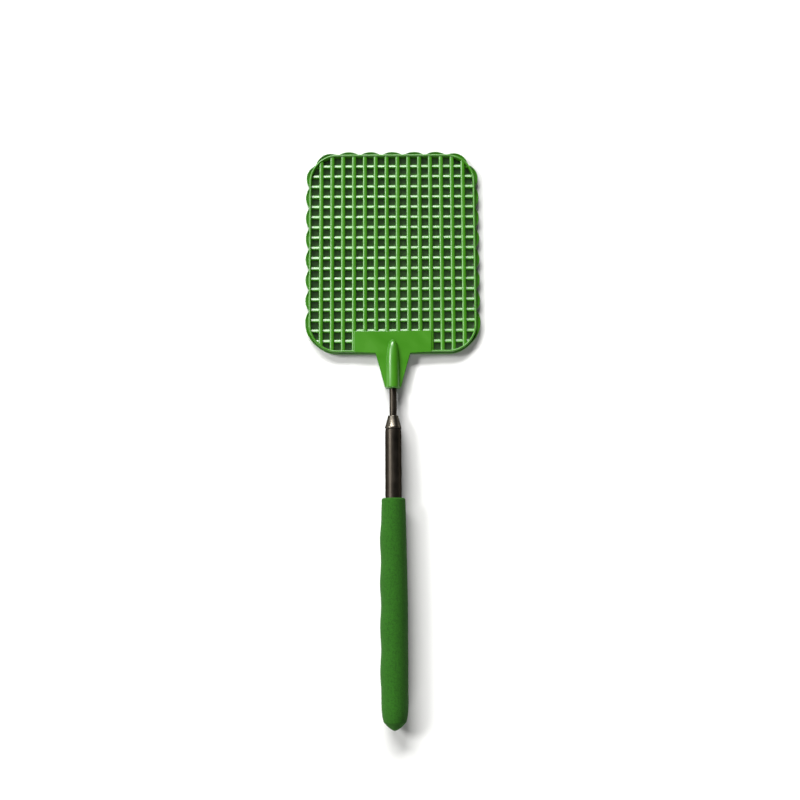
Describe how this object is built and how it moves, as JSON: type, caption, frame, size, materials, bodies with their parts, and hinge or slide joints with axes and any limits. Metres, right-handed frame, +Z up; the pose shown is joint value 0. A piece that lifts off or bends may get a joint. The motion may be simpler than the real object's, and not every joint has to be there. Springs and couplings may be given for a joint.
{
  "type": "fly swatter",
  "caption": "Telescopic fly swatter: an openwork moulded paddle with a scalloped rim on a nested metal pole that pulls out and swivels, with a foam finger grip.",
  "frame": {"origin": "centre of the bounding box's bottom, on the surface that the swatter lies on, under the pole's axis", "axes": "+Y along the pole from the grip to the head, +Z up out of the head's face, +X to the right seen from above with the head at the top"},
  "size_m": [0.0794, 0.2598, 0.0122],
  "materials": {
    "head_plastic": "satin moulded polypropylene, green",
    "grip_foam": "matt closed-cell foam, green",
    "dark_steel": "polished dark nickel-plated steel tube",
    "collar_steel": "turned steel, polished and nickel plated",
    "bush_brass": "turned brass",
    "shim_bronze": "rolled spring bronze strip",
    "plug_plastic": "matt black moulded plastic"
  },
  "bodies": {
    "grip_and_outer_tube": {"foam_grip": "grip_foam", "outer_tube": "dark_steel", "tube_end_plug": "plug_plastic"},
    "friction_shims_2": {"friction_shim_2a": "shim_bronze", "friction_shim_2b": "shim_bronze"},
    "section_2": {"tube_2": "dark_steel", "tail_bush_2": "bush_brass"},
    "friction_shims_3": {"friction_shim_3a": "shim_bronze", "friction_shim_3b": "shim_bronze"},
    "section_3": {"tube_3": "dark_steel", "tail_bush_3": "bush_brass"},
    "friction_shims_4": {"friction_shim_4a": "shim_bronze", "friction_shim_4b": "shim_bronze"},
    "section_4": {"tube_4": "dark_steel", "tail_bush_4": "bush_brass"},
    "friction_shims_5": {"friction_shim_5a": "shim_bronze", "friction_shim_5b": "shim_bronze"},
    "section_5_and_head": {"tip_rod": "dark_steel", "tail_bush_5": "bush_brass", "nose_collar": "collar_steel", "swatter_head": "head_plastic"}
  },
  "joints": [
    {"name": "section_2_slide", "type": "slide", "parent": "grip_and_outer_tube", "child": "friction_shims_2", "axis": [0, 1, 0], "range_m": [0, 0.114]},
    {"name": "section_2_swivel", "type": "hinge", "parent": "friction_shims_2", "child": "section_2", "pos_m": [0, -0.1189, 0.0061], "axis": [0, 1, 0], "continuous": true},
    {"name": "section_3_slide", "type": "slide", "parent": "section_2", "child": "friction_shims_3", "axis": [0, 1, 0], "range_m": [0, 0.1075]},
    {"name": "section_3_swivel", "type": "hinge", "parent": "friction_shims_3", "child": "section_3", "pos_m": [0, -0.1124, 0.0061], "axis": [0, 1, 0], "continuous": true},
    {"name": "section_4_slide", "type": "slide", "parent": "section_3", "child": "friction_shims_4", "axis": [0, 1, 0], "range_m": [0, 0.101]},
    {"name": "section_4_swivel", "type": "hinge", "parent": "friction_shims_4", "child": "section_4", "pos_m": [0, -0.1059, 0.0061], "axis": [0, 1, 0], "continuous": true},
    {"name": "section_5_slide", "type": "slide", "parent": "section_4", "child": "friction_shims_5", "axis": [0, 1, 0], "range_m": [0, 0.0945]},
    {"name": "section_5_swivel", "type": "hinge", "parent": "friction_shims_5", "child": "section_5_and_head", "pos_m": [0, -0.0994, 0.0061], "axis": [0, 1, 0], "continuous": true}
  ]
}
